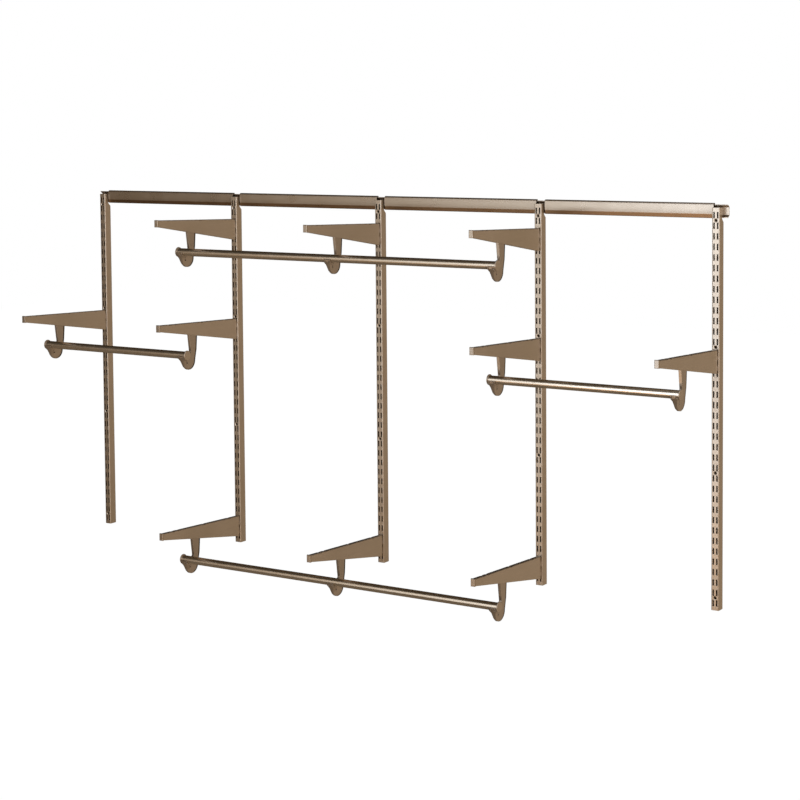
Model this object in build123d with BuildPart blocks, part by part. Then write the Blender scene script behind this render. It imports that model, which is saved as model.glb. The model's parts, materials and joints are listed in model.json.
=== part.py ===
"""Wall mounted closet system: a hang rail, slotted uprights, hook-in shelf brackets and lift-out rods.

The frame: X runs along the wall to the right, Z up, and the wall is the plane Y = 0 with the room at -Y.
The origin is on the wall, at mid height of the hang rail and in line with the centre upright.
All sizes are in millimetres.
"""
import math
import os

from build123d import *

os.makedirs("parts", exist_ok=True)

# Driving dimensions of the whole system
bay_width = 609.6
upright_count = 5
slot_pitch = 31.75
slot_rows = 38

# Clearances
fit_gap = 0.3
cut_over = 2.0

# Hang rail, a flared channel whose web lies on the wall
rail_wall = 1.8
rail_web_height = 25.0
rail_height = 40.8
rail_depth = 10.8
rail_bend_radius = 1.2
rail_left_overhang = 24.0
rail_right_overhang = 32.0
rail_hole_radius = 3.25
rail_hole_pitch = 203.2

# Snap-on rail covers
cover_wall = 1.0
cover_lead = 5.0
cover_bulge = 1.9
cover_back = 4.4
cover_top_gap = 2.6
cover_top_radius = 6.0
cover_low_radius = 1.4
cover_crease_drop = 8.5
cover_crease_set_back = 0.9
cover_foot_set_back = 3.5
cover_hook_radius = 1.6
cover_left_gap = 5.0
cover_right_gap = 0.5

# Slotted uprights, channels that open to the wall
upright_width = 25.4
upright_depth = 28.0
upright_wall = 1.8
upright_corner_radius = 3.0
upright_end_margin = 22.225
upright_top = 10.9
notch_lip_room = 2.1
notch_bevel_height = 11.0
notch_bevel_radius = 7.0

# Slots and screw holes of the uprights
slot_width = 4.6
slot_height = 19.0
slot_spacing = 11.6
screw_hole_radius = 3.5
screw_dish_radius = 5.9
screw_dish_angle = 136.0
screw_hole_stride = 12
screw_hole_count = 4

# Shelf brackets, folded channels that open downwards
bracket_width = 13.0
bracket_wall = 1.5
bracket_length = 400.0
bracket_root_height = 72.4
bracket_tip_height = 22.3
bracket_rise = 15.0
bracket_bend_radius = 1.8
bracket_drop = 77.2
hook_neck_height = 9.0
hook_drop = 8.0
hook_reach = 4.8
hook_corner_radius = 2.0
notch_length = 12.0
notch_depth = 1.8
notch_land = 5.0
notch_place_shares = (0.13, 0.20, 0.54, 0.87)

# Which slot pair holds the upper hooks of each row of brackets, counted from the top
top_row_slot = 3
middle_row_slot = 14
bottom_row_slot = 36

# End caps of the brackets
tip_cap_front = 5.8
tip_cap_proud = 0.8
tip_cap_radius = 1.6
tip_plug_length = 12.0

# Hanging rods and their end caps
rod_radius = 13.0
rod_wall = 1.2
rod_from_wall = 304.8
rod_below_row = 98.0
rod_end_reach = 13.6
rod_cap_radius = 16.5
rod_cap_thickness = 3.5
rod_cap_bevel = 1.0
rod_plug_length = 15.0

# Rod hangers, hooks that plug into the brackets from below
hanger_thickness = 9.4
rear_bevel_along = 8.0
rear_bevel_across = 1.7
lobe_bevel_share = 0.5
stem_top_width = 51.0
stem_low_width = 30.0
stem_front_at_top = 20.0
stem_front_at_rod = 34.0
lobe_radius = 31.0
lobe_back = 25.0
lobe_drop = 21.0
throat_radius = 8.0
seat_slack = 0.8
seat_back_height = 3.0
seat_front_drop = 2.0
saddle_wall = 3.6
saddle_width = 26.0
neck_waist_width = 15.0
neck_back = 8.5
neck_top_drop = 9.5
neck_waist_drop = 20.0
neck_low_drop = 33.0
neck_top_front = 15.4
neck_waist_front = 8.5
neck_low_front = 3.6
hanger_hole_radius = 2.2
hanger_hole_back = 13.0
hanger_hole_drop = 28.0


def side_plane(x, z):
    """The plane of a side view at x: its own x is the distance from the wall, its own y is the height above z."""
    return Plane(origin=(x, 0, z), x_dir=(0, -1, 0), z_dir=(-1, 0, 0))


def front_plane(x, distance, z):
    """A plane that faces the room, at a distance from the wall."""
    return Plane(origin=(x, -distance, z), x_dir=(1, 0, 0), z_dir=(0, -1, 0))


def level_plane(x, distance, z):
    """A level plane, its own x to the right and its own y towards the wall."""
    return Plane(origin=(x, -distance, z), x_dir=(1, 0, 0), z_dir=(0, 0, 1))


def nearest_corner(sketch, along, up):
    """The corner of a sketch that lies nearest to a point of its own plane."""
    return sketch.vertices().sort_by_distance((along, up, 0))[0]


def finish(piece, label):
    """Labels a finished piece and writes it as one STEP file."""
    piece.part.label = label
    export_step(piece.part, f"parts/{label}.step")


# Places that several pieces share
upright_height = 2 * upright_end_margin + (slot_rows - 1) * slot_pitch
upright_bottom = upright_top - upright_height
first_slot_z = upright_top - upright_end_margin
half_system = bay_width * (upright_count - 1) / 2
upright_xs = [bay_width * index - half_system for index in range(upright_count)]

flare_slope = (rail_height - rail_web_height) / 2 / rail_depth
flare_drop = rail_wall * math.hypot(1, flare_slope)
flare_gap = fit_gap * math.hypot(1, flare_slope)


def flange_outside(distance):
    """Height of the rail's upper flange on its outer side; the lower flange mirrors it."""
    return rail_web_height / 2 + flare_slope * distance


def flange_inside(distance):
    """Height of the rail's upper flange on the side of the channel."""
    return flange_outside(distance) - flare_drop


def row_height(slot_number):
    """Height of the root of a bracket's top edge, when its upper hooks sit in this slot pair."""
    top_row_z = upright_top - bracket_drop
    return top_row_z - (slot_number - top_row_slot) * slot_pitch


def slot_low_edge(slot_number):
    """Height of the lower edge of a slot pair."""
    return first_slot_z - (slot_number - 1) * slot_pitch - slot_height / 2


# Hang rail
rail_left = -half_system - rail_left_overhang
rail_right = half_system + rail_right_overhang
rail_middle = (rail_left + rail_right) / 2
rail_hole_count = int((rail_right - rail_left) / rail_hole_pitch)

with BuildPart() as rail:
    with BuildSketch(side_plane(rail_middle, 0)) as rail_section:
        with BuildLine():
            Polyline(
                (0, flange_outside(0)),
                (rail_depth, flange_outside(rail_depth)),
                (rail_depth, flange_inside(rail_depth)),
                (rail_wall, flange_inside(rail_wall)),
                (rail_wall, -flange_inside(rail_wall)),
                (rail_depth, -flange_inside(rail_depth)),
                (rail_depth, -flange_outside(rail_depth)),
                (0, -flange_outside(0)),
                close=True,
            )
        make_face()
        bends = rail_section.vertices().filter_by_position(Axis.X, 0, rail_wall)
        fillet(bends, rail_bend_radius)
    extrude(amount=(rail_right - rail_left) / 2, both=True)
    with BuildSketch(front_plane(0, rail_wall, 0)):
        with GridLocations(rail_hole_pitch, 0, rail_hole_count, 1):
            Circle(rail_hole_radius)
    extrude(amount=-(rail_wall + cut_over), mode=Mode.SUBTRACT)
finish(rail, "hang_rail")


# Rail covers: each is a shell that snaps over both lips of the rail between two uprights
cover_top = rail_height / 2 + cover_top_gap + cover_wall
cover_low = -rail_height / 2 - fit_gap - cover_wall
cover_front = rail_depth + cover_lead
cover_shoulder = cover_front - cover_bulge
cover_crease = cover_front - cover_crease_set_back


def build_cover(left, right):
    """One rail cover between two places along the wall."""
    hook_tip = flange_outside(cover_back + cover_wall) + fit_gap
    with BuildPart() as cover:
        with BuildSketch(side_plane((left + right) / 2, 0)) as shell:
            with BuildLine():
                Polyline(
                    (cover_crease, -cover_crease_drop),
                    (cover_front - cover_foot_set_back, cover_low),
                    (cover_back, cover_low),
                    (cover_back, cover_top),
                    (cover_shoulder, cover_top),
                )
                ThreePointArc(
                    (cover_shoulder, cover_top),
                    (cover_front, (cover_top - cover_crease_drop) / 2),
                    (cover_crease, -cover_crease_drop),
                )
            make_face()
            fillet(shell.vertices().group_by(Axis.X)[0], cover_hook_radius)
            fillet(nearest_corner(shell, cover_shoulder, cover_top), cover_top_radius)
            fillet(nearest_corner(shell, cover_front - cover_foot_set_back, cover_low), cover_low_radius)
            offset(shell.face(), amount=-cover_wall, mode=Mode.SUBTRACT)
            with Locations((cover_back, 0)):
                Rectangle(4 * cover_wall, 2 * hook_tip, mode=Mode.SUBTRACT)
        extrude(amount=(right - left) / 2, both=True)
    return cover


for index in range(upright_count - 1):
    cover_start = upright_xs[index] + upright_width / 2 + cover_left_gap
    cover_end = upright_xs[index + 1] - upright_width / 2 - cover_right_gap
    finish(build_cover(cover_start, cover_end), f"rail_cover_{index + 1}")


# Uprights: the side walls are cut to pass round the rail's lower flange and reach into its channel
def build_upright(x):
    """One slotted upright at x."""
    lip_clear = rail_depth + fit_gap
    notch_low = -rail_height / 2 - notch_lip_room
    with BuildPart() as upright:
        with BuildSketch(level_plane(x, 0, upright_bottom)) as section:
            with Locations((0, -upright_depth / 2)):
                Rectangle(upright_width, upright_depth)
            fillet(section.vertices().group_by(Axis.Y)[0], upright_corner_radius)
            with Locations((0, -(upright_depth - upright_wall) / 2)):
                Rectangle(upright_width - 2 * upright_wall, upright_depth - upright_wall, mode=Mode.SUBTRACT)
        extrude(amount=upright_height)
        with BuildSketch(side_plane(x, 0)) as passage:
            with BuildLine():
                Polyline(
                    (rail_wall + fit_gap, upright_top + cut_over),
                    (rail_wall + fit_gap, -flange_inside(rail_wall + fit_gap) + flare_gap),
                    (lip_clear, -flange_inside(lip_clear) + flare_gap),
                    (lip_clear, notch_low),
                    (0, notch_low - notch_bevel_height),
                    (-cut_over, notch_low - notch_bevel_height),
                    (-cut_over, upright_top + cut_over),
                    close=True,
                )
            make_face()
            fillet(nearest_corner(passage, lip_clear, notch_low), notch_bevel_radius)
        extrude(amount=upright_width / 2 + cut_over, both=True, mode=Mode.SUBTRACT)
        slots_middle = first_slot_z - (slot_rows - 1) * slot_pitch / 2
        with BuildSketch(front_plane(x, upright_depth, slots_middle)):
            with GridLocations(slot_spacing, slot_pitch, 2, slot_rows):
                Rectangle(slot_width, slot_height)
        extrude(amount=-(upright_wall + cut_over), mode=Mode.SUBTRACT)
        first_hole_z = first_slot_z - slot_pitch / 2
        hole_planes = [
            front_plane(x, upright_depth, first_hole_z - number * screw_hole_stride * slot_pitch)
            for number in range(screw_hole_count)
        ]
        with Locations(*hole_planes):
            CounterSinkHole(screw_hole_radius, screw_dish_radius, counter_sink_angle=screw_dish_angle)
    return upright


for index, upright_x in enumerate(upright_xs):
    finish(build_upright(upright_x), f"upright_{index + 1}")


# Shelf brackets
bracket_root = upright_depth + fit_gap
bracket_tip = bracket_root + bracket_length
top_slope = bracket_rise / bracket_length
low_slope = (bracket_rise - bracket_tip_height + bracket_root_height) / bracket_length
top_web_drop = bracket_wall * math.hypot(1, top_slope)


def top_edge(distance):
    """Height of a bracket's top edge above its row."""
    return top_slope * (distance - bracket_root)


def low_edge(distance):
    """Height of a bracket's bottom edge, measured from its row."""
    return low_slope * (distance - bracket_root) - bracket_root_height


def build_bracket(x, slot_number):
    """One shelf bracket with two pairs of hooks, at x and in the row of this slot pair."""
    row_z = row_height(slot_number)
    side = side_plane(x, row_z)
    hook_front = upright_depth - upright_wall - fit_gap
    hook_back = hook_front - hook_reach
    with BuildPart() as bracket:
        with BuildSketch(side):
            with BuildLine():
                Polyline(
                    (bracket_root, 0),
                    (bracket_tip, top_edge(bracket_tip)),
                    (bracket_tip, low_edge(bracket_tip)),
                    (bracket_root, -bracket_root_height),
                    close=True,
                )
            make_face()
        extrude(amount=bracket_width / 2, both=True)
        fillet(bracket.faces().sort_by(Axis.Z)[-1].edges().filter_by(Axis.X, reverse=True), bracket_bend_radius)
        for pair in range(2):
            rest = slot_low_edge(slot_number + pair) + fit_gap - row_z
            with BuildSketch(side) as hook:
                with BuildLine():
                    Polyline(
                        (bracket_root + bracket_wall, rest + hook_neck_height),
                        (hook_back, rest + hook_neck_height),
                        (hook_back, rest - hook_drop),
                        (hook_front, rest - hook_drop),
                        (hook_front, rest),
                        (bracket_root + bracket_wall, rest),
                        close=True,
                    )
                make_face()
                fillet(nearest_corner(hook, hook_back, rest + hook_neck_height), hook_corner_radius)
            extrude(amount=bracket_width / 2, both=True)
        with BuildSketch(side):
            with BuildLine():
                Polyline(
                    (0, top_edge(0) - top_web_drop),
                    (bracket_tip + cut_over, top_edge(bracket_tip + cut_over) - top_web_drop),
                    (bracket_tip + cut_over, -bracket_root_height - cut_over),
                    (0, -bracket_root_height - cut_over),
                    close=True,
                )
            make_face()
        extrude(amount=bracket_width / 2 - bracket_wall, both=True, mode=Mode.SUBTRACT)
        for share in notch_place_shares:
            place = bracket_tip - share * bracket_length
            for hand in (-1, 1):
                edge_x = x + hand * (notch_land + bracket_width) / 2
                with BuildSketch(level_plane(edge_x, place, row_z + top_edge(place) - notch_depth)):
                    Rectangle(bracket_width, notch_length)
                extrude(amount=notch_depth + cut_over, mode=Mode.SUBTRACT)
    return bracket


def build_tip_cap(x, slot_number):
    """The end cap that plugs into the front of a bracket."""
    top = top_edge(bracket_tip)
    low = low_edge(bracket_tip)
    row_z = row_height(slot_number)
    side = side_plane(x, row_z)
    with BuildPart() as cap:
        with BuildSketch(front_plane(x, bracket_tip, row_z + (top + low) / 2)) as face:
            Rectangle(bracket_width + 2 * tip_cap_proud, bracket_tip_height + 2 * tip_cap_proud)
        extrude(amount=tip_cap_front)
        fillet(cap.faces().sort_by(Axis.Y)[0].edges(), tip_cap_radius)
        with BuildSketch(side):
            with BuildLine():
                Polyline(
                    (bracket_tip, top - top_web_drop - fit_gap),
                    (bracket_tip - tip_plug_length, top_edge(bracket_tip - tip_plug_length) - top_web_drop - fit_gap),
                    (bracket_tip - tip_plug_length, low_edge(bracket_tip - tip_plug_length) + fit_gap),
                    (bracket_tip, low + fit_gap),
                    close=True,
                )
            make_face()
        extrude(amount=bracket_width / 2 - bracket_wall - fit_gap, both=True)
    return cap


# Rod hangers: a plate with a rounded lobe, and a saddle across it that carries the rod
def build_hanger(x, slot_number):
    """One rod hanger in the bracket at x, in the row of this slot pair."""
    row_z = row_height(slot_number)
    side = side_plane(x, row_z)
    rod_z = -rod_below_row
    seat_radius = rod_radius + seat_slack
    seat_z = rod_z + seat_slack - fit_gap
    saddle_radius = rod_radius + fit_gap + saddle_wall
    lobe_x = rod_from_wall - lobe_back
    lobe_z = rod_z - lobe_drop
    lobe_rear = lobe_x - lobe_radius
    stem_top_front = rod_from_wall - stem_front_at_top
    stem_top_rear = stem_top_front - stem_top_width
    stem_low_front = rod_from_wall - stem_front_at_rod
    shelf_z = rod_z + seat_back_height
    lip_front = rod_from_wall + saddle_radius
    lip_z = rod_z - seat_front_drop
    half = hanger_thickness / 2
    with BuildPart() as hanger:
        for across, inset in (
            (-half, rear_bevel_along),
            (rear_bevel_across - half, 0),
            (half - rear_bevel_across, 0),
            (half, rear_bevel_along),
        ):
            with BuildSketch(side_plane(x + across, row_z)) as plate:
                with BuildLine():
                    Polyline(
                        (lobe_rear + inset, lobe_z),
                        (stem_low_front - stem_low_width + inset, rod_z + seat_radius),
                        (stem_top_rear + inset, top_edge(stem_top_rear + inset) - top_web_drop - fit_gap),
                        (stem_top_front, top_edge(stem_top_front) - top_web_drop - fit_gap),
                        (stem_low_front, shelf_z),
                        (rod_from_wall, shelf_z),
                        (rod_from_wall, lip_z),
                        (lip_front, lip_z),
                    )
                    Line((lip_front, lip_z), (rod_from_wall + neck_top_front, rod_z - neck_top_drop))
                    Line(
                        (rod_from_wall + neck_top_front, rod_z - neck_top_drop),
                        (rod_from_wall + neck_low_front, rod_z - neck_low_drop),
                    )
                    ThreePointArc(
                        (rod_from_wall + neck_low_front, rod_z - neck_low_drop),
                        (lobe_x, lobe_z - lobe_radius + inset * lobe_bevel_share),
                        (lobe_rear + inset, lobe_z),
                    )
                make_face()
                fillet(nearest_corner(plate, stem_low_front, shelf_z), throat_radius)
        loft(ruled=True)
        with BuildSketch(side):
            with Locations((rod_from_wall, seat_z)):
                Circle(seat_radius)
            with Locations((rod_from_wall, seat_z + seat_radius)):
                Rectangle(2 * seat_radius, 2 * seat_radius)
            with Locations((rod_from_wall - hanger_hole_back, rod_z - hanger_hole_drop)):
                Circle(hanger_hole_radius)
        extrude(amount=hanger_thickness, both=True, mode=Mode.SUBTRACT)
        with BuildSketch(side):
            with Locations((rod_from_wall, rod_z)):
                Circle(saddle_radius)
            with Locations((rod_from_wall, seat_z)):
                Circle(seat_radius, mode=Mode.SUBTRACT)
            with Locations((rod_from_wall, lip_z + lobe_radius / 2)):
                Rectangle(2 * lobe_radius, lobe_radius, mode=Mode.SUBTRACT)
        extrude(amount=saddle_width / 2, both=True)
        neck_sections = (
            (saddle_width, neck_top_front, neck_top_drop),
            (neck_waist_width, neck_waist_front, neck_waist_drop),
            (hanger_thickness, neck_low_front, neck_low_drop),
        )
        for width, front, drop in neck_sections:
            middle = rod_from_wall + (front - neck_back) / 2
            with BuildSketch(level_plane(x, middle, row_z + rod_z - drop)):
                Rectangle(width, front + neck_back)
        loft(ruled=True)
        with BuildSketch(side):
            with Locations((rod_from_wall, seat_z)):
                Circle(seat_radius)
        extrude(amount=saddle_width / 2, both=True, mode=Mode.SUBTRACT)
    return hanger


# The brackets, their end caps and their hangers, named by upright and row
row_slots = {"top": top_row_slot, "middle": middle_row_slot, "bottom": bottom_row_slot}
bracket_places = [
    (1, "middle"),
    (2, "top"),
    (2, "middle"),
    (2, "bottom"),
    (3, "top"),
    (3, "bottom"),
    (4, "top"),
    (4, "middle"),
    (4, "bottom"),
    (5, "middle"),
]
for number, row in bracket_places:
    place_x = upright_xs[number - 1]
    finish(build_bracket(place_x, row_slots[row]), f"bracket_{number}_{row}")
    finish(build_tip_cap(place_x, row_slots[row]), f"bracket_cap_{number}_{row}")
    finish(build_hanger(place_x, row_slots[row]), f"rod_hanger_{number}_{row}")


# Hanging rods, each lying in the hangers between its first and last upright
def build_rod(left, right, slot_number):
    """One tube between two places along the wall."""
    with BuildPart() as rod:
        with BuildSketch(side_plane((left + right) / 2, row_height(slot_number))):
            with Locations((rod_from_wall, -rod_below_row)):
                Circle(rod_radius)
                Circle(rod_radius - rod_wall, mode=Mode.SUBTRACT)
        extrude(amount=(right - left) / 2, both=True)
    return rod


def build_rod_cap(end, outwards, slot_number):
    """An end cap: a disc against the end of the tube, and a plug inside it."""
    axis_point = (end, -rod_from_wall, row_height(slot_number) - rod_below_row)
    with BuildPart() as cap:
        with BuildSketch(Plane(origin=axis_point, x_dir=(0, 1, 0), z_dir=(outwards, 0, 0))):
            Circle(rod_cap_radius)
        extrude(amount=rod_cap_thickness)
        outer_face = cap.faces().sort_by(Axis.X)[-1 if outwards > 0 else 0]
        chamfer(outer_face.edges(), rod_cap_bevel)
        with BuildSketch(Plane(origin=axis_point, x_dir=(0, 1, 0), z_dir=(-outwards, 0, 0))):
            Circle(rod_radius - rod_wall - fit_gap)
        extrude(amount=rod_plug_length)
    return cap


rod_places = [("top", 2, 4, "top"), ("bottom", 2, 4, "bottom"), ("left", 1, 2, "middle"), ("right", 4, 5, "middle")]
for name, first, last, row in rod_places:
    rod_left = upright_xs[first - 1] - rod_end_reach
    rod_right = upright_xs[last - 1] + rod_end_reach
    finish(build_rod(rod_left, rod_right, row_slots[row]), f"rod_{name}")
    finish(build_rod_cap(rod_left, -1, row_slots[row]), f"rod_cap_{name}_left")
    finish(build_rod_cap(rod_right, 1, row_slots[row]), f"rod_cap_{name}_right")
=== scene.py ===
"""The wall mounted closet system in a pale studio: satin bronze metal, seen at the photograph's angle.

Lengths are in metres, in the frame of the model: X along the rail, the wall at Y = 0, the room at -Y, Z up.
"""
import json
import math

import bpy
import numpy as np
from mathutils import Euler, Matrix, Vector


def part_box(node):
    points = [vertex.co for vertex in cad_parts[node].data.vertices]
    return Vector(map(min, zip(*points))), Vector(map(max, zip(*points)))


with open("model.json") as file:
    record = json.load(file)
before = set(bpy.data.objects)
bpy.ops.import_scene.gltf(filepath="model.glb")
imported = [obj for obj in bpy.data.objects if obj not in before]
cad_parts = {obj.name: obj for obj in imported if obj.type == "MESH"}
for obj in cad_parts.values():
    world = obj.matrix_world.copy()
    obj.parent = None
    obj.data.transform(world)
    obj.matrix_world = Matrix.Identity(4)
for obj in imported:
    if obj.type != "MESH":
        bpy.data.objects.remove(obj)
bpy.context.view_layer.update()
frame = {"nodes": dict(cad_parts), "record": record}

# Camera, found from the uprights' ends, the screw holes and the bracket tips in the photograph
camera_place = (3.45465, -5.07092, 0.28065)
camera_turn_degrees = (86.50086, 0.27706, 30.69957)
camera_lens = 82.731
camera_shift_right = -0.12086
camera_shift_up = -0.21181
camera_reach = 60.0

# Floor and surround: how much each lights the set, and how bright it is where it is seen
floor_height = -2.134
floor_half_size = 14.0
floor_paint = 0.35
floor_light = 0.30
floor_seen = 0.97
room_light = 0.12
room_seen = 1.0

# Lamp: strength, the way its light travels, and how wide it is
lamp_strength = 2.38
lamp_travel = (-1.0, 0.2, 0.45)
lamp_spread_degrees = 70.0

# Colours of the cards round the set, which only the metal sees
warm_card = (1.0, 0.76, 0.52)
soft_card = (1.0, 0.91, 0.76)
plain_card = (1.0, 1.0, 0.97)
patch_card = (1.0, 0.64, 0.36)

# Planes of the cards round the set, and how far they reach to the sides
front_plane = -5.2
back_plane = 12.8
end_plane = 12.4
overhead_plane = 4.4
half_width = 12.0
overhead_width = 11.1
side_width = 26.0
floor_left = -16.0
back_left = -30.0

# Grey cards. Behind the set, dull ones at the left meet lighter ones at the right along a slanting seam
dull_glow = 0.05
side_glow = 0.28
seam_at_set = 0.53
seam_at_back = 4.60
seam = (seam_at_back - seam_at_set, back_plane, 0.0)
front_to_back = (0.0, back_plane - front_plane, 0.0)
just_above_floor = floor_height + 0.01
back_rise = (0.0, 0.0, 9.0)
end_rise = (0.0, 0.0, 6.5)
# Name, corner, first side, second side, strength and colour
grey_cards = (
    (
        "card_overhead", (-half_width, front_plane, overhead_plane),
        (overhead_width, 0.0, 0.0), front_to_back, 0.07, soft_card,
    ),
    (
        "card_below", (-half_width, -half_width, just_above_floor),
        (2 * half_width, 0.0, 0.0), (0.0, half_width, 0.0), 0.12, warm_card,
    ),
    (
        "card_below_behind", (floor_left, 0.0, just_above_floor),
        (seam_at_set - floor_left, 0.0, 0.0), seam, dull_glow, warm_card,
    ),
    (
        "card_below_side", (seam_at_set, 0.0, just_above_floor),
        (side_width, 0.0, 0.0), seam, side_glow, warm_card,
    ),
    (
        "card_behind", (back_left, back_plane, floor_height),
        (seam_at_back - back_left, 0.0, 0.0), back_rise, dull_glow, warm_card,
    ),
    (
        "card_side", (seam_at_back, back_plane, floor_height),
        (side_width, 0.0, 0.0), back_rise, side_glow, warm_card,
    ),
    ("card_left_end", (-end_plane, front_plane, floor_height), front_to_back, end_rise, side_glow, warm_card),
    ("card_right_end", (end_plane, front_plane, floor_height), front_to_back, end_rise, 0.5, warm_card),
)

# A row of tall lit panels in the front plane: left and right side, strength and colour
panel_columns = (
    (-half_width, -5.7, 0.12, warm_card),
    (-5.7, -4.5, 0.25, warm_card),
    (-4.5, -3.2, 0.65, warm_card),
    (-3.2, -1.75, 1.50, soft_card),
    (-1.75, 0.3, 3.40, plain_card),
    (0.3, 4.0, 1.0, warm_card),
    (4.0, half_width, 2.6, plain_card),
)
# The panels' brightness by height: low and high side, and share of the strength
panel_bands = ((-2.12, -0.9, 0.75), (-0.9, 0.6, 1.0), (0.6, 2.0, 1.1), (2.0, overhead_plane, 0.35))
# Their light patches on the floor: length towards the set, slant to the right, lift, share of the strength
patch_length = 2.2
patch_slant = 1.1
patch_lift = 0.02
patch_share = 0.65

# Painted shade: a dark strip behind the slotted front of each upright, with its gap to that front and its
# margin to the sides
strip_gap = 0.0028
strip_margin = 0.0022
channel_shade_colour = (0.030, 0.020, 0.014)

# Where the painted shade lies: the foot of the covers starts at their crease, and the walls of the slots are
# within slot_reach of the middle of an upright
crease_height = -0.0085
foot_fade = 0.002
upright_pitch = 0.6096
slot_reach = 0.0100
sideways_limit = 0.5

# Open faces are mostly a clear mirroring finish; faces under the painted shade mirror only in the dark tone
# painted on them
metallic_open, metallic_shaded = 0.20, 1.0
coat_open, coat_shaded = 1.0, 0.2
coat_roughness = 0.20
coat_index = 1.75

# Relief of the surface, and what wear takes off its roughness
line_stretch = 90.0
line_height = 0.00005
ripple_height = 0.00006
wear_smoothing = -0.08
bevel_samples = 4

# Finishes, as linear colours
bronze = (0.315, 0.205, 0.116)
bronze_deep = (0.290, 0.186, 0.098)
cover_bronze = (0.240, 0.145, 0.070)
hanger_bronze = (0.258, 0.167, 0.096)
rod_bronze = (0.320, 0.205, 0.105)
# Painted shade: dark tones that the shade mask paints on tops, rear edges, the covers' foot and slot walls
shaded_bronze = (0.075, 0.048, 0.026)
shaded_cover = (0.160, 0.090, 0.040)
shaded_rod = (0.340, 0.200, 0.065)
# Worn edges: lighter partly from wear and partly as a painted edge highlight
worn_edge_and_highlight = (0.420, 0.310, 0.190)

# Kinds of socket of the node groups
number_kind = "NodeSocketFloat"
colour_kind = "NodeSocketColor"
vector_kind = "NodeSocketVector"


def opaque(colour):
    """A colour with full cover."""
    return (*colour, 1.0)


def new_object(name, data):
    """An object of this mesh, lamp or camera, at the origin."""
    made = bpy.data.objects.new(name, data)
    bpy.context.scene.collection.objects.link(made)
    return made


def grid_mesh(name, points):
    """A mesh from a grid of points: the cell between rows i and i + 1 and columns j and j + 1 is a face."""
    rows, columns = points.shape[:2]
    index = np.arange(rows * columns).reshape(rows, columns)
    corners = (index[:-1, :-1], index[:-1, 1:], index[1:, 1:], index[1:, :-1])
    faces = np.stack(corners, axis=-1).reshape(-1, 4)
    mesh = bpy.data.meshes.new(name)
    mesh.from_pydata(points.reshape(-1, 3).tolist(), [], faces.tolist())
    return mesh


def rectangle(name, corner, along, up):
    """A flat sheet: point(u, v) = corner + u * along + v * up, for u and v from 0 to 1."""
    u, v = np.meshgrid((0.0, 1.0), (0.0, 1.0), indexing="xy")
    points = np.array(corner) + u[..., None] * np.array(along) + v[..., None] * np.array(up)
    return new_object(name, grid_mesh(name, points))


def hide_from(piece, *rays):
    """Hides a piece from rays of these kinds."""
    for kind in rays:
        setattr(piece, f"visible_{kind}", False)


# Nodes
def add_node(tree, kind, **settings):
    """A node of this kind, with its own settings."""
    node = tree.nodes.new(kind)
    for name, value in settings.items():
        setattr(node, name, value)
    return node


def feed(tree, source, target):
    """Joins a socket to the target, or sets the target to a number or colour."""
    if isinstance(source, bpy.types.NodeSocket):
        tree.links.new(source, target)
    else:
        target.default_value = source


def calculate(tree, operation, *sources, clamp=False):
    """The result of a Math node on sockets or numbers."""
    node = add_node(tree, "ShaderNodeMath", operation=operation, use_clamp=clamp)
    for source, target in zip(sources, node.inputs):
        feed(tree, source, target)
    return node.outputs["Value"]


def ramp(tree, value, start=0.0, full=1.0, low=0.0, high=1.0):
    """A value that is low up to start, high from full on, and on a straight line between them."""
    node = add_node(tree, "ShaderNodeMapRange")
    feed(tree, value, node.inputs["Value"])
    feed(tree, start, node.inputs["From Min"])
    feed(tree, full, node.inputs["From Max"])
    feed(tree, low, node.inputs["To Min"])
    feed(tree, high, node.inputs["To Max"])
    return node.outputs["Result"]


def noise(tree, points, scale, detail, roughness=0.5):
    """Noise at these points, with detail finer layers."""
    node = add_node(tree, "ShaderNodeTexNoise")
    feed(tree, points, node.inputs["Vector"])
    feed(tree, scale, node.inputs["Scale"])
    feed(tree, detail, node.inputs["Detail"])
    feed(tree, roughness, node.inputs["Roughness"])
    return node.outputs["Fac"]


def mix_colours(tree, amount, first, second):
    """The first colour at amount 0, the second at amount 1."""
    node = add_node(tree, "ShaderNodeMix", data_type="RGBA")
    feed(tree, amount, node.inputs["Factor"])
    feed(tree, first, node.inputs["A"])
    feed(tree, second, node.inputs["B"])
    return node.outputs["Result"]


def axes_of(tree, source):
    """The X, Y and Z of a vector."""
    node = add_node(tree, "ShaderNodeSeparateXYZ")
    feed(tree, source, node.inputs["Vector"])
    return node.outputs


def round_normal(tree, radius):
    """The normal over edges rounded by this radius."""
    node = add_node(tree, "ShaderNodeBevel", samples=bevel_samples)
    feed(tree, radius, node.inputs["Radius"])
    return node.outputs["Normal"]


def relief(tree, height, distance, strength, normal):
    """A normal with this height on it."""
    node = add_node(tree, "ShaderNodeBump")
    feed(tree, height, node.inputs["Height"])
    feed(tree, distance, node.inputs["Distance"])
    feed(tree, strength, node.inputs["Strength"])
    feed(tree, normal, node.inputs["Normal"])
    return node.outputs["Normal"]


# Node groups
def new_group(name, inputs, outputs):
    """An empty node group, with what it is given and the sockets of its results."""
    tree = bpy.data.node_groups.new(name, "ShaderNodeTree")
    for label, kind, *start in inputs:
        socket = tree.interface.new_socket(name=label, in_out="INPUT", socket_type=kind)
        if start:
            socket.default_value = start[0]
    for label, kind in outputs:
        tree.interface.new_socket(name=label, in_out="OUTPUT", socket_type=kind)
    return tree, add_node(tree, "NodeGroupInput").outputs, add_node(tree, "NodeGroupOutput").inputs


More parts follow.
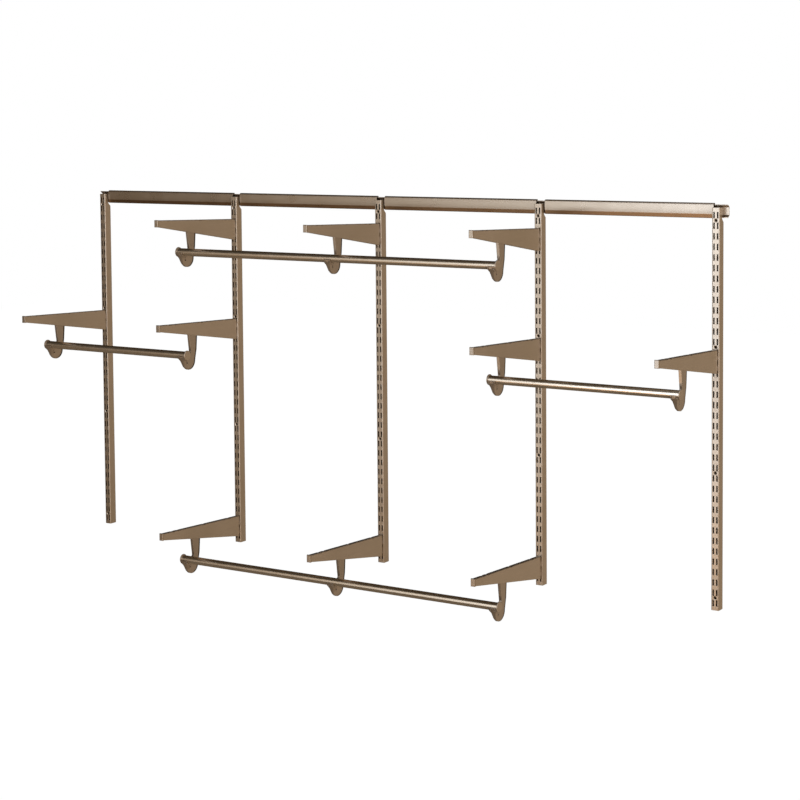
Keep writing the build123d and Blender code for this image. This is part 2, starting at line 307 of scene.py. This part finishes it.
def wear_and_highlight_group():
    """Edge wear and a painted edge highlight: the angle between the true normal and the one over a rounded
    edge, broken up by noise.
    """
    tree, given, results = new_group(
        "edge wear and highlight",
        (("Vector", vector_kind), ("Width", number_kind, 0.0006)),
        (("Mask", number_kind),),
    )
    shape = add_node(tree, "ShaderNodeNewGeometry")
    cosine = add_node(tree, "ShaderNodeVectorMath", operation="DOT_PRODUCT")
    feed(tree, round_normal(tree, given["Width"]), cosine.inputs[0])
    feed(tree, shape.outputs["Normal"], cosine.inputs[1])
    turned = ramp(tree, cosine.outputs["Value"], start=0.985, full=0.80)
    rubbed = noise(tree, given["Vector"], scale=90.0, detail=3.0)
    patches = ramp(tree, rubbed, start=0.38, full=0.62)
    feed(tree, calculate(tree, "MULTIPLY", turned, patches, clamp=True), results["Mask"])
    return tree


def shade_group():
    """Painted shade on the faces that the photograph shows dark: mask = the largest of four shares, each
    times its amount.

    Top rises with the normal's Z, rear with the normal's Y, and foot with the depth below the crease. Slot
    walls look sideways, up or down, within slot_reach of a multiple of the pitch at which the uprights stand.
    """
    tree, given, results = new_group(
        "shaded faces",
        (
            ("Vector", vector_kind),
            ("Normal", vector_kind),
            ("Top", number_kind),
            ("Rear", number_kind),
            ("Foot", number_kind),
            ("Top Start", number_kind),
            ("Top Full", number_kind),
            ("Slot Walls", number_kind),
        ),
        (("Mask", number_kind),),
    )
    place = axes_of(tree, given["Vector"])
    normal = axes_of(tree, given["Normal"])
    true_normal = axes_of(tree, add_node(tree, "ShaderNodeNewGeometry").outputs["Normal"])
    from_middle = calculate(tree, "PINGPONG", place["X"], upright_pitch / 2)
    near_middle = calculate(tree, "LESS_THAN", from_middle, slot_reach)
    facing_room = calculate(tree, "ABSOLUTE", true_normal["Y"])
    sideways = calculate(tree, "LESS_THAN", facing_room, sideways_limit)
    largest = 0.0
    for amount, share in (
        ("Top", ramp(tree, normal["Z"], start=given["Top Start"], full=given["Top Full"])),
        ("Rear", ramp(tree, normal["Y"], start=0.05, full=0.18)),
        ("Foot", ramp(tree, place["Z"], start=crease_height, full=crease_height - foot_fade)),
        ("Slot Walls", calculate(tree, "MULTIPLY", near_middle, sideways)),
    ):
        mask = calculate(tree, "MULTIPLY", share, given[amount])
        largest = calculate(tree, "MAXIMUM", largest, mask)
    feed(tree, largest, results["Mask"])
    return tree


def metal_skin_group(wear_and_highlight, shade):
    """Satin metal: a slowly drifting tone, fine drawn lines, worn edges lightened partly as a painted
    highlight, painted shade on some faces and a faint ripple.
    """
    tree, given, results = new_group(
        "satin metal skin",
        (
            ("Tone", colour_kind, opaque(bronze)),
            ("Deep Tone", colour_kind, opaque(bronze_deep)),
            ("Worn Tone", colour_kind, opaque(worn_edge_and_highlight)),
            ("Shade Tone", colour_kind, opaque(shaded_bronze)),
            ("Line Scale", vector_kind, (900.0, 900.0, 12.0)),
            ("Line Depth", number_kind, 0.15),
            ("Ripple Depth", number_kind, 0.08),
            ("Roughness", number_kind, 0.32),
            ("Wear", number_kind, 0.6),
            ("Round", number_kind, 0.0014),
            ("Top", number_kind, 0.8),
            ("Rear", number_kind, 0.0),
            ("Foot", number_kind, 0.0),
            ("Top Start", number_kind, 0.45),
            ("Top Full", number_kind, 0.80),
            ("Slot Walls", number_kind, 0.0),
        ),
        (
            ("Color", colour_kind),
            ("Metallic", number_kind),
            ("Coat", number_kind),
            ("Roughness", number_kind),
            ("Normal", vector_kind),
        ),
    )
    place = add_node(tree, "ShaderNodeTexCoord").outputs["Object"]

    # Slow drift of the tone, as on a long plated or coated strip
    drift = ramp(tree, noise(tree, place, scale=7.0, detail=2.0), start=0.35, full=0.68)
    toned = mix_colours(tree, drift, given["Tone"], given["Deep Tone"])

    # Drawn lines: noise stretched along the axis with the smallest scale
    stretched = add_node(tree, "ShaderNodeVectorMath", operation="MULTIPLY")
    feed(tree, place, stretched.inputs[0])
    feed(tree, given["Line Scale"], stretched.inputs[1])
    lines = noise(tree, stretched.outputs["Vector"], scale=1.0, detail=3.0, roughness=0.65)
    lined = add_node(tree, "ShaderNodeVectorMath", operation="SCALE")
    feed(tree, toned, lined.inputs[0])
    feed(tree, ramp(tree, lines, start=0.3, full=0.7, low=0.90, high=1.08), lined.inputs["Scale"])

    # Worn edges, lightened partly by wear and partly as a painted edge highlight
    edges = add_node(tree, "ShaderNodeGroup", node_tree=wear_and_highlight)
    feed(tree, place, edges.inputs["Vector"])
    edge_amount = calculate(tree, "MULTIPLY", edges.outputs["Mask"], given["Wear"])
    worn_and_lit = mix_colours(tree, edge_amount, lined.outputs["Vector"], given["Worn Tone"])

    # Painted shade: the masked faces get the dark shade tone, and mirror less
    soft_edges = round_normal(tree, given["Round"])
    faces = add_node(tree, "ShaderNodeGroup", node_tree=shade)
    feed(tree, place, faces.inputs["Vector"])
    feed(tree, soft_edges, faces.inputs["Normal"])
    for name in ("Top", "Rear", "Foot", "Top Start", "Top Full", "Slot Walls"):
        feed(tree, given[name], faces.inputs[name])
    shaded = faces.outputs["Mask"]
    feed(tree, mix_colours(tree, shaded, worn_and_lit, given["Shade Tone"]), results["Color"])
    feed(tree, ramp(tree, shaded, low=metallic_open, high=metallic_shaded), results["Metallic"])
    feed(tree, ramp(tree, shaded, low=coat_open, high=coat_shaded), results["Coat"])

    # Roughness: handled patches change it a little, and worn edges are smoother
    hands = noise(tree, place, scale=22.0, detail=4.0)
    handled = ramp(tree, hands, start=0.3, full=0.7, low=-0.04, high=0.05)
    rough = calculate(tree, "ADD", given["Roughness"], handled)
    feed(tree, calculate(tree, "MULTIPLY_ADD", edge_amount, wear_smoothing, rough), results["Roughness"])

    # Relief: softly rounded edges, the drawn lines, and the faint ripple of a coated surface
    ripple = noise(tree, place, scale=700.0, detail=1.0)
    with_lines = relief(tree, lines, line_height, given["Line Depth"], soft_edges)
    feed(tree, relief(tree, ripple, ripple_height, given["Ripple Depth"], with_lines), results["Normal"])
    return tree


# Materials
def satin_metal(name, skin, shine, values):
    """One finish of the closet system: the shared skin group with its own values, and a thin clear coat."""
    material = bpy.data.materials.new(name)
    material.use_nodes = True
    tree = material.node_tree
    shader = tree.nodes["Principled BSDF"]
    surface = add_node(tree, "ShaderNodeGroup", node_tree=skin)
    for socket, value in values.items():
        surface.inputs[socket].default_value = value
    shader.inputs["IOR"].default_value = shine
    shader.inputs["Coat Roughness"].default_value = coat_roughness
    shader.inputs["Coat IOR"].default_value = coat_index
    feed(tree, surface.outputs["Color"], shader.inputs["Base Color"])
    feed(tree, surface.outputs["Metallic"], shader.inputs["Metallic"])
    feed(tree, surface.outputs["Coat"], shader.inputs["Coat Weight"])
    feed(tree, surface.outputs["Roughness"], shader.inputs["Roughness"])
    feed(tree, surface.outputs["Normal"], shader.inputs["Normal"])
    return material


def drawn_along(axis, fineness):
    """Noise scales for lines drawn along one axis, line_stretch times as long as they are wide."""
    return [fineness / line_stretch if name == axis else fineness for name in "XYZ"]


def even_tone(colour):
    """The two tones of a finish that doesn't drift between them."""
    return {"Tone": opaque(colour), "Deep Tone": opaque(colour)}


def make_finishes():
    """The material of each slot of the record."""
    skin = metal_skin_group(wear_and_highlight_group(), shade_group())
    # Top, Rear, Foot and Slot Walls set the amounts of painted shade on each finish, and Shade Tone its
    # colour
    rail = {"Line Scale": drawn_along("X", 900.0), "Roughness": 0.34}
    cover = {
        **even_tone(cover_bronze),
        "Shade Tone": opaque(shaded_cover),
        "Line Scale": drawn_along("X", 1100.0),
        "Roughness": 0.30,
        "Wear": 0.0,
        "Round": 0.0008,
        "Foot": 0.85,
        "Top": 0.5,
    }
    upright = {
        "Line Scale": drawn_along("Z", 900.0),
        "Roughness": 0.33,
        "Wear": 0.3,
        "Round": 0.0016,
        "Slot Walls": 0.95,
    }
    bracket = {
        "Line Scale": drawn_along("Y", 800.0),
        "Ripple Depth": 0.14,
        "Roughness": 0.38,
        "Wear": 0.2,
        "Round": 0.0035,
        "Top Start": 0.05,
        "Top Full": 0.30,
    }
    hanger = {
        **even_tone(hanger_bronze),
        "Line Depth": 0.0,
        "Ripple Depth": 0.22,
        "Roughness": 0.33,
        "Wear": 0.2,
        "Round": 0.003,
        "Rear": 0.8,
    }
    rod = {
        **even_tone(rod_bronze),
        "Shade Tone": opaque(shaded_rod),
        "Line Scale": drawn_along("X", 1500.0),
        "Ripple Depth": 0.04,
        "Roughness": 0.22,
        "Wear": 0.2,
        "Round": 0.0008,
    }
    moulded = {"Line Depth": 0.0, "Ripple Depth": 0.2, "Wear": 0.2}
    tip_cap = {**moulded, **even_tone(cover_bronze), "Roughness": 0.36}
    rod_cap = {**moulded, "Roughness": 0.38}
    return {
        "rail": satin_metal("rail bronze", skin, 3.0, rail),
        "cover": satin_metal("cover champagne", skin, 2.8, cover),
        "upright": satin_metal("upright bronze", skin, 3.0, upright),
        "bracket": satin_metal("bracket bronze", skin, 3.0, bracket),
        "tip_cap": satin_metal("cap tinted plastic", skin, 2.7, tip_cap),
        "hanger": satin_metal("hanger cast bronze", skin, 2.5, hanger),
        "rod": satin_metal("rod bronze", skin, 5.5, rod),
        "rod_cap": satin_metal("rod cap tinted plastic", skin, 3.0, rod_cap),
    }


def dress_nodes(finishes):
    """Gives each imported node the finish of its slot."""
    for part in frame["record"]["subparts"]:
        node = frame["nodes"][part["node"]]
        node.data.materials.clear()
        node.data.materials.append(finishes[part["material_slot"]])


# Studio
def bare_material(name):
    """A material of an output alone, its nodes, and that output's Surface socket."""
    material = bpy.data.materials.new(name)
    material.use_nodes = True
    tree = material.node_tree
    tree.nodes.clear()
    return material, tree, add_node(tree, "ShaderNodeOutputMaterial").inputs["Surface"]


def make_card(name, corner, along, up, strength, colour):
    """A card outside the picture that shows only in the metal: it casts no shadow and lights nothing."""
    card = rectangle(name, corner, along, up)
    material, tree, surface = bare_material(name)
    glow = add_node(tree, "ShaderNodeEmission")
    glow.inputs["Strength"].default_value = strength
    glow.inputs["Color"].default_value = opaque(colour)
    feed(tree, glow.outputs["Emission"], surface)
    card.data.materials.append(material)
    hide_from(card, "camera", "diffuse", "transmission", "shadow")


def make_cards():
    """Grey cards and lit panels round the set, in the directions that the metal mirrors into the picture."""
    for card in grey_cards:
        make_card(*card)
    patch_side = (patch_slant, patch_length, 0.0)
    for column, (left, right, strength, colour) in enumerate(panel_columns, 1):
        across = (right - left, 0.0, 0.0)
        for band, (low, high, share) in enumerate(panel_bands, 1):
            corner = (left, front_plane, low)
            rise = (0.0, 0.0, high - low)
            make_card(f"panel_{column}_{band}", corner, across, rise, share * strength, colour)
        corner = (left, front_plane, floor_height + patch_lift)
        patch_strength = patch_share * strength
        make_card(f"panel_{column}_patch", corner, across, patch_side, patch_strength, patch_card)


def background_rays(tree):
    """1 for the rays that see the background: the camera's, mirrored ones and those through glass."""
    rays = add_node(tree, "ShaderNodeLightPath").outputs
    seen = calculate(tree, "MAXIMUM", rays["Is Camera Ray"], rays["Is Glossy Ray"])
    return calculate(tree, "MAXIMUM", seen, rays["Is Transmission Ray"])


def make_floor():
    """A pale floor that glows a little, so that it ends in white and lights the set from below."""
    corner = (-floor_half_size, -floor_half_size, floor_height)
    width = (2 * floor_half_size, 0.0, 0.0)
    depth = (0.0, 2 * floor_half_size, 0.0)
    floor = rectangle("floor", corner, width, depth)
    material, tree, surface = bare_material("pale floor")
    paint = add_node(tree, "ShaderNodeBsdfDiffuse")
    paint.inputs["Color"].default_value = (floor_paint, floor_paint, floor_paint, 1.0)
    glow = add_node(tree, "ShaderNodeEmission")
    strength = ramp(tree, background_rays(tree), low=floor_light, high=floor_seen)
    feed(tree, strength, glow.inputs["Strength"])
    both = add_node(tree, "ShaderNodeAddShader")
    feed(tree, paint.outputs["BSDF"], both.inputs[0])
    feed(tree, glow.outputs["Emission"], both.inputs[1])
    feed(tree, both.outputs["Shader"], surface)
    floor.data.materials.append(material)
    hide_from(floor, "shadow")


def make_slot_shade():
    """Painted shade inside each upright's channel: a dark strip behind the slots that shows only from the
    room.
    """
    material, tree, surface = bare_material("painted channel shade")
    shade = add_node(tree, "ShaderNodeBsdfDiffuse")
    shade.inputs["Color"].default_value = opaque(channel_shade_colour)
    clear = add_node(tree, "ShaderNodeBsdfTransparent")
    side = add_node(tree, "ShaderNodeNewGeometry")
    chosen = add_node(tree, "ShaderNodeMixShader")
    feed(tree, side.outputs["Backfacing"], chosen.inputs["Fac"])
    feed(tree, shade.outputs["BSDF"], chosen.inputs[1])
    feed(tree, clear.outputs["BSDF"], chosen.inputs[2])
    feed(tree, chosen.outputs["Shader"], surface)
    for node in frame["nodes"]:
        if not node.startswith("upright"):
            continue
        low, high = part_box(node)
        strip = rectangle(
            f"slot_shade_{node}",
            (low[0] + strip_margin, low[1] + strip_gap, low[2] + strip_margin),
            (high[0] - low[0] - 2 * strip_margin, 0.0, 0.0),
            (0.0, 0.0, high[2] - low[2] - 2 * strip_margin),
        )
        strip.data.materials.append(material)
        hide_from(strip, "diffuse", "glossy", "shadow")


def make_world():
    """A white surround for the camera and for reflections, and a softer one for light on the object."""
    world = bpy.data.worlds.new("pale studio")
    bpy.context.scene.world = world
    world.use_nodes = True
    tree = world.node_tree
    tree.nodes.clear()
    sky = add_node(tree, "ShaderNodeBackground")
    sky.inputs["Color"].default_value = (1.0, 1.0, 1.0, 1.0)
    strength = ramp(tree, background_rays(tree), low=room_light, high=room_seen)
    feed(tree, strength, sky.inputs["Strength"])
    feed(tree, sky.outputs["Background"], add_node(tree, "ShaderNodeOutputWorld").inputs["Surface"])


def make_lamp():
    """A wide soft light from the low right, as off a pale floor. The metal doesn't mirror it."""
    lamp = bpy.data.lights.new("side lamp", "SUN")
    lamp.energy = lamp_strength
    lamp.angle = math.radians(lamp_spread_degrees)
    holder = new_object("side lamp", lamp)
    holder.rotation_euler = Vector(lamp_travel).to_track_quat("-Z", "Y").to_euler()
    hide_from(holder, "glossy")


def make_camera():
    """The photograph's viewpoint."""
    data = bpy.data.cameras.new("camera")
    data.lens = camera_lens
    data.shift_x = camera_shift_right
    data.shift_y = camera_shift_up
    data.clip_end = camera_reach
    camera = new_object("camera", data)
    camera.location = camera_place
    camera.rotation_euler = Euler([math.radians(angle) for angle in camera_turn_degrees], "XYZ")
    bpy.context.scene.camera = camera


make_camera()
make_world()
make_floor()
make_slot_shade()
make_cards()
make_lamp()
dress_nodes(make_finishes())
bpy.context.scene.view_settings.view_transform = "Standard"
